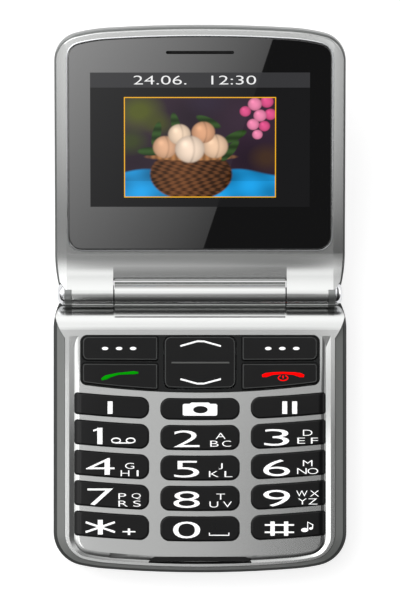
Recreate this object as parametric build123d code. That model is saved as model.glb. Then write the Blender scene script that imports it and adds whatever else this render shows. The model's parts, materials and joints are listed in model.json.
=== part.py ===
from build123d import *
import os
from math import atan, degrees, sqrt

# A flip phone lying on its back, opened to its stop. Millimetres, +Z up, +X to the right,
# the lid towards +Y and the keypad towards -Y. Shapes are drawn with the hinge axis at y = 0,
# and the lid is drawn flat in line with the base, then tilted to its resting angle.

# ---- driving dimensions ----
HINGE_Y = 1.55          # shift of the hinge axis that centres the open phone on the origin
HINGE_Z = 10.5          # hinge axis above the table
REST_TILT = 15.0        # the open lid stands this many degrees short of flat
GAP = 0.05              # assembly gap between fitted pieces
WALL = 1.4              # moulded wall

BASE_HALF = 34.0        # half width of the base
BASE_END = 64.7         # hinge axis to the end of the base
BASE_ARCS = ((4.7, 0.0), (8.0, 40.0), (77.3, 7.85))     # turn and radius of the end's arcs
DECK_Z = 10.2           # keypad deck above the table
SPLIT_Z = 5.0           # underside of the base's front shell
CEILING_Z = 8.7         # underside of the deck
DECK_ROUND = 1.8        # rounding round the deck
VALLEY_Z = 9.75         # floor of the valley between the deck and its lip
ROLL_R = 8.0            # rounded shoulder of the base at the hinge
ROLL_Y = -8.4
ROLL_Z = DECK_Z - ROLL_R
SADDLE_PROUD = 0.4      # raised middle of that shoulder, under the barrel
SADDLE_END_Y = -5.25

LID_HALF = 33.6
LID_END = 63.2
LID_ARCS = ((3.57, 0.0), (11.01, 40.0), (75.42, 6.4))
RIM_W = -0.3            # lid's rim, measured from the hinge axis along the lid's own up direction
WINDOW_W = -0.55        # face of the display window
LID_SPLIT_W = -1.6      # seam between the lid's two shells
LID_BACK_W = -8.1       # back of the lid
BEVEL_X = 30.9          # the sides of the lid's rim fall away beyond this
BEVEL_FALL = 0.14       # drop for each millimetre outwards
WINDOW_GAP = 0.12

BARREL_R = 2.75         # middle barrel, part of the base
BARREL_HALF = 19.8
KNUCKLE_R = 2.7         # lid's knuckles
KNUCKLE_IN = 20.1
KNUCKLE_OUT = 29.75
COLLAR_R = 2.65         # ring outside each knuckle, part of the lid's rear shell
COLLAR_IN = 29.8
COLLAR_OUT = 31.35
RAMP_R = 14.0           # hollow ramp from the display window up to the knuckles
RAMP_Y = 9.55
RAMP_W = RIM_W + RAMP_R
LIP_Y = 6.55            # between the knuckles the ramp turns over in a lip beside the barrel
LIP_R = 12.0
LIP_EDGE_R = 1.0

KEY_TOP = 10.5
NAV_TOP = 10.45         # tops of the keys in the navigation panel
KEY_GAP = 0.18          # round each key
FLANGE_Z = 8.35         # underside of a key's retaining flange
FLANGE_T = 0.3
ROW_CROWN = 290.0       # radius of the curved key rows
ROW_TOP = -30.67        # top edge of the first number row, on the centre line
ROW_PITCH = 7.05
ROW_HEIGHT = 5.5
SIDE_KEY = (11.95, 29.0)
MIDDLE_KEY = 9.05
PANEL_TOP = -9.56
PANEL_CROWN = 203.0

COVER_T = 1.1           # battery cover
COVER_Y = -21.0
BATTERY = (48.0, 34.0, 3.9)
BATTERY_TOP = -25.0
BOARD_Z = (6.2, 7.0)

pieces = {}


# ---- drawing helpers ----
def block(x0, x1, y0, y1, z0, z1):
    return Pos((x0 + x1) / 2, (y0 + y1) / 2, (z0 + z1) / 2) * Box(x1 - x0, y1 - y0, z1 - z0)


def post(x, y, radius, z0, z1):
    return Pos(x, y, (z0 + z1) / 2) * Cylinder(radius, z1 - z0)


def upright(face, z0, z1):
    return extrude(Pos(0, 0, z0) * face, z1 - z0, dir=(0, 0, 1))


def across(face, x0, x1):
    """Push a face drawn in the (y, z) plane from x0 to x1."""
    return extrude(Plane.YZ.offset(x0) * face, x1 - x0)


def lengthwise(face, half=80):
    """Push a face drawn in the (x, z) plane both ways along Y."""
    return extrude(Plane.XZ * face, half, both=True)


def rod(radius, x0, x1, y=0.0, z=0.0):
    return Pos((x0 + x1) / 2, y, z) * Rot(0, 90, 0) * Cylinder(radius, x1 - x0)


def both_sides(shape):
    return [shape, mirror(shape, Plane.YZ)]


def polygon(*points):
    return make_face(Polyline(*points, close=True))


def at_edge(shape, z):
    """Edges that lie flat at height z."""
    flat = [e for e in shape.edges() if abs(e.bounding_box().min.Z - z) < 1e-3]
    return [e for e in flat if abs(e.bounding_box().max.Z - z) < 1e-3]


# ---- outlines, drawn for an end towards +Y ----
def crowned_end(half, tip, arcs, inset=0.0):
    """Right half of a crowned end: a wide arc over the tip, a shoulder and a corner, all tangent."""
    (turn_a, _), (turn_b, shoulder), (turn_c, corner) = arcs
    shoulder, corner = shoulder - inset, corner - inset
    first = Vector(1, 0).rotate(Axis.Z, -turn_a)
    run_b = JernArc((0, 0), first, shoulder, -turn_b)
    run_c = JernArc(run_b @ 1, run_b % 1, corner, -turn_c)
    crown = (half - (run_c @ 1).X) / abs(first.Y)
    edge_a = JernArc((0, tip), (1, 0), crown, -turn_a)
    edge_b = JernArc(edge_a @ 1, edge_a % 1, shoulder, -turn_b)
    edge_c = JernArc(edge_b @ 1, edge_b % 1, corner, -turn_c)
    return [edge_a, edge_b, edge_c]


def outline(edges):
    """Close a right half drawn from the centre line back to the centre line."""
    right = Curve() + edges
    return make_face(right.edges() + mirror(right, Plane.YZ).edges())


def plate(half, tip, near, arcs, inset=0.0):
    """A plate with a crowned end and a straight near end."""
    end = crowned_end(half, tip, arcs, inset)
    side = Line(end[-1] @ 1, (half, near))
    return outline(end + [side, Line((half, near), (0, near))])


def base_plate(half, tip, near, inset=0.0):
    return mirror(plate(half, tip, near, BASE_ARCS, inset), Plane.XZ)


def base_outline(half, tip, inset):
    """Whole outline of the base, rounded in towards the hinge."""
    end = crowned_end(half, tip, BASE_ARCS, inset)
    waist = ThreePointArc((half, 8.6), (half - 0.45, 4.6), (half - 2.4, 0.3))
    near = Line(waist @ 1, (0, 0.3))
    return mirror(outline(end + [Line(end[-1] @ 1, (half, 8.6)), waist, near]), Plane.XZ)


def front_outline(inset=0.0):
    """Front shell of the base: full width over the roll, then stepping in beside the keypad."""
    end = crowned_end(31.3 - inset, 63.3 - inset, BASE_ARCS, 1.6 + inset)
    side = Line(end[-1] @ 1, (31.3 - inset, 10.3))
    crescent = ThreePointArc(side @ 1, (32.65 - inset, 8.0), (33.55 - inset, 5.4))
    shoulder = ThreePointArc(crescent @ 1, (33.2 - inset, 4.1), (31.8 - inset, 2.6 + inset))
    near = Line(shoulder @ 1, (0, 2.6 + inset))
    return mirror(outline(end + [side, crescent, shoulder, near]), Plane.XZ)


def lid_outline(inset=0.0):
    """Rear shell of the lid, drawing in slightly towards the hinge."""
    half = LID_HALF - inset
    end = crowned_end(half, LID_END - inset, LID_ARCS, inset)
    side = Line(end[-1] @ 1, (half, 10.5))
    waist = ThreePointArc(side @ 1, (half - 0.25, 5.0), (half - 1.15, 0.3))
    return outline(end + [side, waist, Line(waist @ 1, (0, 0.3))])


def lid_front_outline():
    """Front shell of the lid: cut in round the ends of the hinge."""
    half = LID_HALF - 0.5
    end = crowned_end(half, LID_END - 0.35, LID_ARCS, 0.5)
    side = Line(end[-1] @ 1, (half, 10.5))
    waist = ThreePointArc(side @ 1, (half - 0.15, 6.7), (32.46, 3.1))
    scoop = ThreePointArc(waist @ 1, (31.0, 1.35), (KNUCKLE_OUT, -0.8))
    down = Line(scoop @ 1, (KNUCKLE_OUT, -3.2))
    return outline(end + [side, waist, scoop, down, Line(down @ 1, (0, -3.2))])


def lid_plate(half, tip, near, inset=0.0):
    return plate(half, tip, near, LID_ARCS, inset)


def row_edge(y, x, crown):
    return y + crown - sqrt(crown * crown - x * x)


def key_outline(x0, x1, top, bottom, left_r, right_r, top_crown=ROW_CROWN, crown=ROW_CROWN, grow=0.0):
    """A key between two curved row edges, given on the phone's centre line."""
    x0, x1, top, bottom = x0 - grow, x1 + grow, top + grow, bottom - grow
    mid = (x0 + x1) / 2
    low = ThreePointArc(*[(x, row_edge(bottom, x, crown)) for x in (x0, mid, x1)])
    if top_crown:
        high = ThreePointArc(*[(x, row_edge(top, x, top_crown)) for x in (x1, mid, x0)])
    else:
        high = Line((x1, top), (x0, top))
    face = make_face([low, Line(low @ 1, high @ 0), high, Line(high @ 1, low @ 0)])
    corners = face.vertices().sort_by(Axis.X)
    face = fillet(corners[2:], right_r + grow)
    corners = face.vertices().sort_by(Axis.X)
    return fillet(corners[:2], left_r + grow)


# ---- keys ----
def soft_round():
    """Cross-section that every key top follows: flat, and rolling down at the deck's sides."""
    half, drop = SIDE_KEY[1] + 0.5, 2.0
    right = [
        Line((0, KEY_TOP), (half - drop, KEY_TOP)),
        JernArc((half - drop, KEY_TOP), (1, 0), drop, -90),
        Line((half, KEY_TOP - drop), (half, 8.0)),
        Line((half, 8.0), (0, 8.0)),
    ]
    return lengthwise(outline(right))


KEY_PROFILE = soft_round()


def key_list():
    """Every straight-moving key: name, left, right, top, bottom, corner radii and edge curves."""
    keys = []
    inner, outer = SIDE_KEY
    columns = (
        (-outer, -inner, 0.6, 2.0),
        (-MIDDLE_KEY, MIDDLE_KEY, 2.0, 2.0),
        (inner, outer, 2.0, 0.6),
    )
    rows = [(-24.41, -29.16)]
    rows += [(ROW_TOP - i * ROW_PITCH, ROW_TOP - i * ROW_PITCH - ROW_HEIGHT) for i in range(4)]
    names = (
        ("memory_key_1", "camera_key", "memory_key_2"),
        ("key_1", "key_2", "key_3"),
        ("key_4", "key_5", "key_6"),
        ("key_7", "key_8", "key_9"),
        ("key_star", "key_0", "key_hash"),
    )
    for row, (top, bottom) in enumerate(rows):
        for column, (x0, x1, left_r, right_r) in enumerate(columns):
            keys.append((names[row][column], x0, x1, top, bottom, left_r, right_r, ROW_CROWN, ROW_CROWN))
    x0, x1 = 9.75, 27.3
    split = (-15.54, -16.17)
    bottom = -22.5
    keys.append(("soft_key_left", -x1, -x0, PANEL_TOP - 0.3, split[0], 1.4, 0.5, None, 4000.0))
    keys.append(("soft_key_right", x0, x1, PANEL_TOP - 0.3, split[0], 0.5, 1.4, None, 4000.0))
    keys.append(("call_key", -x1, -x0, split[1], bottom, 0.8, 0.5, 4000.0, PANEL_CROWN))
    keys.append(("end_key", x0, x1, split[1], bottom, 0.5, 0.8, 4000.0, PANEL_CROWN))
    return keys


ROCKER = (-8.3, 8.3, PANEL_TOP - 0.3, -22.04, 1.6, 1.6, None, PANEL_CROWN)


def make_key(spec, top_z):
    x0, x1, top, bottom, left_r, right_r, top_crown, crown = spec
    shape = (left_r, right_r, top_crown, crown)
    cap = upright(key_outline(x0, x1, top, bottom, *shape), FLANGE_Z + FLANGE_T, top_z)
    cap = cap & KEY_PROFILE
    cap = fillet(cap.edges().filter_by(lambda e: e.bounding_box().min.Z > top_z - 1e-3), 0.25)
    flange_face = key_outline(x0 - 0.45, x1 + 0.45, top + 0.15, bottom - 0.15, *shape)
    return cap + upright(flange_face, FLANGE_Z, FLANGE_Z + FLANGE_T)


def make_rocker():
    """The up/down key: it tips about its middle, held by a short tab on each side."""
    x0, x1, top, bottom, *shape = ROCKER
    cap = upright(key_outline(*ROCKER), FLANGE_Z, NAV_TOP)
    cap = fillet(at_edge(cap, NAV_TOP), 0.25)
    middle = (top + bottom) / 2
    return cap + block(x0 - 0.5, x1 + 0.5, middle - 1.8, middle + 1.8, FLANGE_Z - 0.05, FLANGE_Z + 0.25)


# ---- base ----
def key_holes(z0, z1):
    cuts = []
    for name, *spec in key_list():
        cuts.append(upright(key_outline(*spec, grow=KEY_GAP), z0, z1))
    cuts.append(upright(key_outline(*ROCKER, grow=KEY_GAP), z0, z1))
    return cuts


def roll_section(radius):
    """Side view of the base's top: flat deck, rounded shoulder and a slope down to the end."""
    top = ROLL_Z + radius
    arc = JernArc((ROLL_Y, top), (1, 0), radius, -60)
    foot = (arc @ 1) + (arc % 1) * 3.2
    return make_face([
        Line((-80, top), (ROLL_Y, top)), arc, Line(arc @ 1, foot), Line(foot, (foot.X, -1)),
        Line((foot.X, -1), (-80, -1)), Line((-80, -1), (-80, top)),
    ])


def panel_outline(grow=0.0):
    half = 27.8
    return key_outline(-half, half, PANEL_TOP, -22.94, 1.6, 1.6, None, PANEL_CROWN, grow)


def bumper_outline(grow=0.0):
    """Tapered strip just inside the end of the deck."""
    top, bottom = -61.05 + grow, -62.05 - grow
    narrow, wide = 10.6 + grow, 11.9 + grow
    return polygon((-narrow, top), (narrow, top), (wide, bottom), (-wide, bottom))


def base_screw_places():
    return [(side * x, y) for side in (-1, 1) for x, y in ((28.3, -7.4), (27.6, -58.6))]


def base_front_shell():
    inner = front_outline(WALL)
    shell = upright(front_outline(), SPLIT_Z, DECK_Z) & across(roll_section(ROLL_R), -40, 40)
    hollow = upright(inner, SPLIT_Z - 1, CEILING_Z) & across(roll_section(ROLL_R - WALL), -40, 40)
    shell -= hollow

    # the valley between the lip and the deck, running out into the roll
    valley = loft([
        Pos(0, 0, VALLEY_Z) * base_plate(29.2, 62.15, 6.0, 3.2),
        Pos(0, 0, DECK_Z + 0.1) * base_plate(30.6, 62.85, 6.0, 2.6)], ruled=True)
    run_out = polygon((-8.6, DECK_Z + 0.2), (-12.5, VALLEY_Z), (-80, VALLEY_Z), (-80, 12), (-8.6, 12))
    shell -= valley & across(run_out, -40, 40)
    deck = upright(base_plate(29.8, 62.75, 0.6 - ROLL_Y, 3.2), CEILING_Z - 0.6, DECK_Z)
    rounded = [e for e in at_edge(deck, DECK_Z) if e.center().Y < -9.5]
    shell += fillet(rounded, DECK_ROUND) & block(-40, 40, -80, 0, CEILING_Z, 20)

    # hinge barrel, its saddle and the web below it
    shell += across(roll_section(ROLL_R + SADDLE_PROUD), -BARREL_HALF, BARREL_HALF) & block(
        -40, 40, SADDLE_END_Y, -0.4, SPLIT_Z, 20)
    shell += block(-BARREL_HALF, BARREL_HALF, -2.5, -0.4, SPLIT_Z, 8.8)
    shell += rod(BARREL_R, -BARREL_HALF, BARREL_HALF, z=HINGE_Z)
    shell -= rod(2.0, -BARREL_HALF - 1, 14.0, z=HINGE_Z)
    shell -= rod(1.55, 13.0, BARREL_HALF + 1, z=HINGE_Z)
    shell -= block(-3.3, 5.3, -6.4, -0.9, 7.2, 7.75)
    shell -= block(-3.3, 5.3, -1.6, -0.9, 7.2, 9.6)

    # pockets for the navigation panel and the bumper, key holes and screw bosses
    shell -= upright(panel_outline(GAP), 9.4, 12)
    shell -= upright(bumper_outline(GAP), 9.3, 12)
    for cut in key_holes(CEILING_Z - 1, 12):
        shell -= cut
    for x, y in base_screw_places():
        shell += post(x, y, 1.6, 2.6, CEILING_Z - 0.2) & upright(inner, 0, 20)
        shell -= post(x, y, 0.85, 2.0, 7.6)
    shell -= block(29, 35, -18.2, -9.8, 4, 6.3)
    return shell


def base_body():
    """Outside of the whole base below its front shell, with the sloping side band."""
    body = upright(base_outline(BASE_HALF, BASE_END, 0.0), 0, 8.3)
    body = fillet([e for e in at_edge(body, 0.0)], 2.4)
    steps = ((BASE_HALF, BASE_END, 0.0, 8.3), (33.4, 64.2, 0.6, 8.8), (31.45, 63.45, 1.5, 9.9))
    for (half_a, tip_a, in_a, z_a), (half_b, tip_b, in_b, z_b) in zip(steps, steps[1:]):
        body += loft([
            Pos(0, 0, z_a) * base_outline(half_a, tip_a, in_a),
            Pos(0, 0, z_b) * base_outline(half_b, tip_b, in_b)], ruled=True)
    return body & across(roll_section(ROLL_R), -40, 40)


def cover_slab(gap):
    """The slice of the base that belongs to the battery cover."""
    return block(-40, 40, -80, COVER_Y + gap, -1, COVER_T + gap)


def cover_tongues(gap):
    tongues = [block(x - 3 - gap, x + 3 + gap, COVER_Y - 0.5, COVER_Y + 1.4 + gap, 0.5 - gap, COVER_T + gap)
               for x in (-20, 0, 20)]
    return tongues


def bay(grow, z0, z1):
    x = BATTERY[0] / 2 + grow
    return block(-x, x, BATTERY_TOP - BATTERY[1] - grow, BATTERY_TOP + grow, z0, z1)


def base_rear_shell(body):
    shell = body - upright(front_outline(-GAP), SPLIT_Z - GAP, 12)
    room = upright(base_outline(BASE_HALF - 1.6, BASE_END - 1.6, 1.6), 1.2, SPLIT_Z) & block(
        -40, 40, -80, -2.0, 0, 20)
    shell -= room
    shell -= block(-BARREL_HALF - 0.2, BARREL_HALF + 0.2, -5.2, 1, SPLIT_Z - 0.1, 12)
    shell -= rod(BARREL_R + 0.3, -40, 40, z=HINGE_Z)
    shell += upright(base_outline(BASE_HALF - 1.7, BASE_END - 1.7, 1.6), 1.2, 2.0) & block(
        -40, 40, -80, COVER_Y + 1.4, 0, 20)
    shell += bay(1.4, COVER_T + 0.2, 5.9)
    for x in (-23.5, 23.5):
        for y in (-26.5, -57.5):
            shell += post(x, y, 1.0, 5.8, BOARD_Z[0])
    shell -= bay(0.35, -1, 5.3)
    shell -= cover_slab(GAP)
    for tongue in cover_tongues(GAP):
        shell -= tongue
    for x, y in base_screw_places():
        low = 0 if y > COVER_Y else COVER_T
        shell += post(x, y, 2.1, 1.2, 2.5) & body
        shell -= post(x, y, 1.6, low - 1, low + 1.0)
        shell -= post(x, y, 0.85, 0, 3)
    shell -= block(-12.2, -0.8, -45.3, -30.7, 5, 6.5)       # SIM holder
    shell -= block(-6.2, 6.2, -25.2, -22.0, 2.2, 5.0)       # battery contacts
    shell -= block(28, 35, -18.0, -10.0, 3.6, 6.3)          # USB opening
    for i in range(5):
        shell -= block(-22.0, -13.0, -15.9 + i * 1.5, -15.2 + i * 1.5, -1, 2)
    shell -= rod(0.5, 30, 40, y=-30.0, z=4.0)
    shell -= Pos(12, -64, 3.6) * Rot(90, 0, 0) * Cylinder(0.5, 6)
    return shell


def battery_cover(body):
    cover = body & block(-40, 40, -80, COVER_Y, -1, COVER_T)
    for tongue in cover_tongues(0):
        cover += tongue
    for i in range(6):
        half = 8.0 - 0.7 * i
        cover -= block(-half, half, -31.0 + i * 1.3, -30.4 + i * 1.3, -1, 0.3)
    return cover


def nav_panel():
    panel = upright(panel_outline(), 9.45, 10.3)
    panel = fillet(at_edge(panel, 10.3), 0.2)
    for cut in key_holes(8, 12)[-5:]:
        panel -= cut
    return panel


def main_board():
    board = upright(base_plate(28.9, 60.9, 8.0, 3.0), *BOARD_Z)
    for x, y in base_screw_places():
        board -= post(x, y, 1.9, 5, 9)
    return board


def dome_sheet():
    z = BOARD_Z[1]
    sheet = upright(base_plate(25.8, 58.0, 10.5, 3.0), z, z + 0.1)
    centres = [((spec[1] + spec[2]) / 2, (spec[3] + spec[4]) / 2) for spec in key_list()]
    centres += [(0, -12.4), (0, -19.6)]
    for x, y in centres:
        y = max(row_edge(y, x, ROW_CROWN), -55)
        dome = Pos(x, y, z + 0.1) * (Pos(0, 0, -5.1) * Sphere(5.45) & Pos(0, 0, 1) * Box(8, 8, 2))
        sheet += dome
    return sheet


def keypad_mat():
    mat = upright(base_plate(28.0, 60.2, 9.4, 3.2), 7.65, 7.95)
    for x, y in base_screw_places():
        mat -= post(x, y, 1.8, 7, 9)
    return mat


def hinge_flex():
    coil = rod(1.75, -3.0, 5.0, z=HINGE_Z) - rod(1.6, -4.0, 6.0, z=HINGE_Z)
    low, high, end = 7.4, 7.55, -8.75
    tail = polygon(
        (-1.3, low), (-1.3, high), (end, high), (end, BOARD_Z[1]), (end + 0.55, BOARD_Z[1]), (end + 0.55, low))
    lift = polygon((-1.3, low), (-1.15, low), (-1.15, 9.35), (-1.3, 9.35))
    return coil + across(tail, -3, 5) + across(lift, -3, 5)


# ---- lid, drawn flat: y from the hinge axis, z as HINGE_Z + w ----
def lid_z(w):
    return HINGE_Z + w


def slab(face, w0, w1):
    return upright(face, lid_z(w0), lid_z(w1))


def lid_block(x0, x1, y0, y1, w0, w1):
    return block(x0, x1, y0, y1, lid_z(w0), lid_z(w1))


def lid_screw_places():
    return [(side * x, y) for side in (-1, 1) for x, y in ((28.9, 56.0), (28.9, 13.6))]


def ramp_w(y):
    """Height of the ramp at y."""
    return RAMP_W - sqrt(RAMP_R ** 2 - (y - RAMP_Y) ** 2)


def notch():
    """Room for the barrel: the ramp turns over in a gentle lip, then a wall falls to the back."""
    start = Vector(LIP_Y, ramp_w(LIP_Y))
    rise = (RAMP_Y - LIP_Y) / (RAMP_W - start.Y)
    lip = JernArc(start, (-1, rise), LIP_R, degrees(atan(rise)))
    edge = JernArc(lip @ 1, (-1, 0), LIP_EDGE_R, 90)
    wall_y = (edge @ 1).X
    area = make_face([
        lip, edge, Line(edge @ 1, (wall_y, -12)), Line((wall_y, -12), (-8, -12)),
        Line((-8, -12), (-8, 6)), Line((-8, 6), (LIP_Y, 6)), Line((LIP_Y, 6), start),
    ])
    return Pos(0, 0, HINGE_Z) * across(area, -KNUCKLE_IN, KNUCKLE_IN)


def ramp_section():
    """Side view of the front shell: the ramp, then the flat rim."""
    start, middle = [(y, ramp_w(y)) for y in (1.55, 5.5)]
    end = (RAMP_Y, RIM_W)
    return make_face([
        ThreePointArc(start, middle, end), Line(end, (80, RIM_W)), Line((80, RIM_W), (80, LID_SPLIT_W)),
        Line((80, LID_SPLIT_W), (0.8, LID_SPLIT_W)), Line((0.8, LID_SPLIT_W), start),
    ])


def lid_rim():
    """Front shell before anything is cut out of it, its rim falling away at both sides."""
    middle = across(ramp_section(), -BEVEL_X, BEVEL_X)
    side = extrude(Plane.YZ.offset(BEVEL_X) * ramp_section(), 4, dir=(1, 0, -BEVEL_FALL))
    side &= block(BEVEL_X, 40, -20, 100, LID_SPLIT_W, 20)
    return upright(lid_front_outline(), 0, 30) & Pos(0, 0, HINGE_Z) * (middle + both_sides(side))


def window_outline(grow=0.0):
    face = lid_plate(30.35 + grow, 61.05 + grow, 10.55 - grow, 3.2 - grow)
    corners = face.vertices().filter_by(lambda v: abs(v.X) > 20 and v.Y < 11)
    return fillet(corners, 3.2 + grow)


def lid_front_shell():
    shell = lid_rim()
    shell -= slab(window_outline(WINDOW_GAP), LID_SPLIT_W - 1, 3)
    opening = [e for e in at_edge(shell, lid_z(RIM_W)) if 10 < e.center().Y < 61.5]
    shell = fillet([e for e in opening if abs(e.center().X) < BEVEL_X - 0.1], 0.3)
    shell += slab(lid_plate(31.75, 61.3, 7.0, 2.0), -2.6, LID_SPLIT_W)
    for side in (-1, 1):
        inner, outer = sorted((side * KNUCKLE_IN, side * KNUCKLE_OUT))
        shell += rod(KNUCKLE_R, inner, outer, z=HINGE_Z)
        shell -= rod(1.25, *sorted((side * 28.3, side * 31)), z=HINGE_Z)
    shell -= notch()
    shell -= rod(2.0, -26.6, -KNUCKLE_IN + 1, z=HINGE_Z)
    shell -= rod(1.51, KNUCKLE_IN - 1, 28.3, z=HINGE_Z)
    shell -= lid_block(-26.5, 26.5, 18.5, 54.4, -4, 0)
    shell -= lid_block(-7.6, 7.6, 56.9, 57.8, -4, 0)
    for x, y in lid_screw_places():
        shell -= post(x, y, 1.4, lid_z(-2.15), 30)
        shell -= post(x, y, 0.75, 0, 30)
    return shell


def lid_rear_shell():
    shell = slab(lid_outline(), LID_BACK_W, LID_SPLIT_W)
    shell = fillet([e for e in at_edge(shell, lid_z(LID_BACK_W)) if e.center().Y > 4], 5.0)
    top = [e for e in at_edge(shell, lid_z(LID_SPLIT_W)) if e.center().Y > 8]
    shell = fillet(top, 0.3)
    room = slab(lid_plate(31.9, 61.5, 4.6, 1.8), LID_BACK_W + 1.2, 0)
    room = fillet(at_edge(room, lid_z(LID_BACK_W + 1.2)), 3.6)
    shell -= room
    shell -= rod(KNUCKLE_R + 0.3, -COLLAR_IN, COLLAR_IN, z=HINGE_Z)
    shell -= notch()
    shell -= slab(lid_plate(31.85, 61.4, 6.9, 1.9), -2.65, 0)
    for side in (-1, 1):
        shell += rod(COLLAR_R, *sorted((side * COLLAR_IN, side * COLLAR_OUT)), z=HINGE_Z) - lid_rim()
        shell -= rod(COLLAR_R, *sorted((side * COLLAR_OUT, side * 40)), z=HINGE_Z)
        shell -= rod(1.25, *sorted((side * 28.3, side * 35)), z=HINGE_Z)
    for x, y in lid_screw_places():
        shell += post(x, y, 1.6, lid_z(-7.2), lid_z(-2.65))
        shell -= post(x, y, 0.75, lid_z(-6.6), 30)
    shell -= post(0, 50.0, 3.3, 0, lid_z(-6.8))
    return shell


def lid_pieces():
    made = {
        "lid_front_shell": lid_front_shell(),
        "lid_rear_shell": lid_rear_shell(),
    }
    window = slab(window_outline(), WINDOW_W - 1.0, WINDOW_W)
    window = fillet(at_edge(window, lid_z(WINDOW_W)), 0.15)
    slot = Pos(0, 57.35) * SlotOverall(15.7, 0.75)
    made["display_window"] = window - slab(slot, -2, 0)
    made["display_gasket"] = lid_block(-26.2, 26.2, 18.9, 54.1, -1.74, -1.58) - lid_block(
        -25.7, 25.7, 20.3, 53.0, -2, -1)
    made["display_module"] = lid_block(-26.2, 26.2, 18.9, 54.1, -4.2, -1.76)
    tray = lid_block(-26.4, 26.4, 18.6, 54.3, -4.6, -4.25)
    for side in (-1, 1):
        tray += lid_block(*sorted((side * 26.25, side * 26.4)), 18.6, 54.3, -4.3, -3.0)
    made["display_frame"] = tray
    made["lid_board"] = slab(lid_plate(25.5, 58.6, 20.0, 3.4), -5.6, -4.8)
    made["display_flex"] = lid_block(-9, 9, 17.6, 17.8, -5.7, -3.2) + lid_block(
        -9, 9, 17.6, 21.5, -5.85, -5.65)
    made["earpiece_mesh"] = lid_block(-8.6, 8.6, 56.5, 58.2, -1.6, -1.56)
    speaker = lid_block(-6.5, 6.5, 55.0, 60.3, -4.7, -2.75)
    made["earpiece_speaker"] = fillet(speaker.edges().filter_by(Axis.Z), 2.0)
    camera = lid_block(-4, 4, 46, 54, -6.6, -5.65)
    made["camera_module"] = camera + post(0, 50.0, 2.9, lid_z(-7.35), lid_z(-6.6))
    made["camera_lens_window"] = post(0, 50.0, 3.25, lid_z(LID_BACK_W + 0.05), lid_z(-7.4))
    made["vibration_motor"] = rod(1.9, -24, -14, y=15.0, z=lid_z(-5.0)) + rod(
        0.6, -14, -12.5, y=15.0, z=lid_z(-5.0)) + rod(1.6, -12.5, -10, y=15.0, z=lid_z(-5.0))
    made["lid_magnet"] = lid_block(20, 25, 13.2, 16.2, -4.4, -2.7)
    screws = []
    for x, y in lid_screw_places():
        screws.append(post(x, y, 1.3, lid_z(-2.1), lid_z(-1.62)) + post(x, y, 0.7, lid_z(-6.3), lid_z(-2.1)))
    made["lid_screws"] = Compound(screws)
    near, far = COLLAR_OUT + GAP, COLLAR_OUT + 1.65
    cap_half = [
        Line((28.4, 0), (28.4, 1.2)), Line((28.4, 1.2), (near, 1.2)), Line((near, 1.2), (near, 2.55)),
        Line((near, 2.55), (near + 0.3, 2.55)), ThreePointArc((near + 0.3, 2.55), (far - 0.3, 1.95), (far, 1.0)),
        Line((far, 1.0), (far, 0)), Line((far, 0), (28.4, 0)),
    ]
    cap = Pos(0, 0, HINGE_Z) * revolve(make_face(cap_half), Axis.X) - lid_rim()
    made["hinge_end_caps"] = Compound(both_sides(cap))
    made["hinge_cam_head"] = rod(1.97, -26.5, -19.95, z=HINGE_Z) + rod(1.0, -19.95, -12.0, z=HINGE_Z)
    made["hinge_hollow_pin"] = rod(1.5, 14.6, 28.2, z=HINGE_Z) - rod(1.0, 14, 29, z=HINGE_Z)
    return made


def base_pieces():
    body = base_body()
    made = {
        "base_front_shell": base_front_shell(),
        "base_rear_shell": base_rear_shell(body),
        "battery_cover": battery_cover(body),
        "nav_panel": nav_panel(),
        "lid_bumper": upright(bumper_outline(), 9.35, DECK_Z + 0.35),
        "main_board": main_board(),
        "dome_sheet": dome_sheet(),
        "keypad_mat": keypad_mat(),
        "hinge_flex": hinge_flex(),
    }
    cell = bay(0, 1.25, 1.25 + BATTERY[2])
    made["battery"] = fillet(cell.edges().filter_by(Axis.Z), 1.5)
    made["battery_contacts"] = block(-6, 6, -24.55, -22.3, 2.4, 4.8)
    made["sim_holder"] = block(-12, -1, -45, -31, 5.35, 6.15)
    made["shield_cans"] = Compound([
        block(-8, 8, -20.5, -9.5, 4.4, BOARD_Z[0]), block(12, 24, -20.5, -9.5, 4.8, BOARD_Z[0])])
    made["usb_socket"] = block(27.6, 33.2, -17.8, -10.2, 3.7, BOARD_Z[0]) - block(
        28.2, 35, -17.4, -10.6, 4.0, 5.9)
    made["microphone"] = block(10.2, 13.8, -62.2, -61.2, 2.4, 4.8)
    made["loudspeaker"] = post(-17.5, -13.0, 6.2, 1.6, 4.6)
    made["loudspeaker_mesh"] = block(-22.6, -12.4, -16.4, -9.0, 1.22, 1.5)
    made["antenna"] = block(-21, 8, -62.3, -60.9, 2.1, 4.8)
    made["hall_sensor"] = block(21.8, 23.4, -9.2, -8.2, BOARD_Z[1], BOARD_Z[1] + 0.6)
    screws = []
    for x, y in base_screw_places():
        low = 0 if y > COVER_Y else COVER_T
        screws.append(post(x, y, 1.5, low + 0.15, low + 0.95) + post(x, y, 0.8, low + 0.95, 7.2))
    made["base_screws"] = Compound(screws)
    made["hinge_module"] = rod(1.97, -19.75, -7.0, z=HINGE_Z) - rod(1.05, -20, -11.5, z=HINGE_Z)
    for name, *spec in key_list():
        made[name] = make_key(spec, KEY_TOP if spec[2] < PANEL_TOP - 10 else NAV_TOP)
    made["nav_rocker"] = make_rocker()
    return made


tilt = Axis((0, 0, HINGE_Z), (1, 0, 0))
for name, shape in base_pieces().items():
    pieces[name] = shape
for name, shape in lid_pieces().items():
    pieces[name] = shape.rotate(tilt, REST_TILT)

os.makedirs("parts", exist_ok=True)
for name, shape in pieces.items():
    export_step(Pos(0, HINGE_Y, 0) * shape, f"parts/{name}.step")
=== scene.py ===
import json
from math import atan2, cos, pi, radians, sin

import bmesh
import bpy
import numpy as np
from bpy.props import FloatProperty, FloatVectorProperty, PointerProperty
from mathutils import Matrix, Vector


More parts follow.
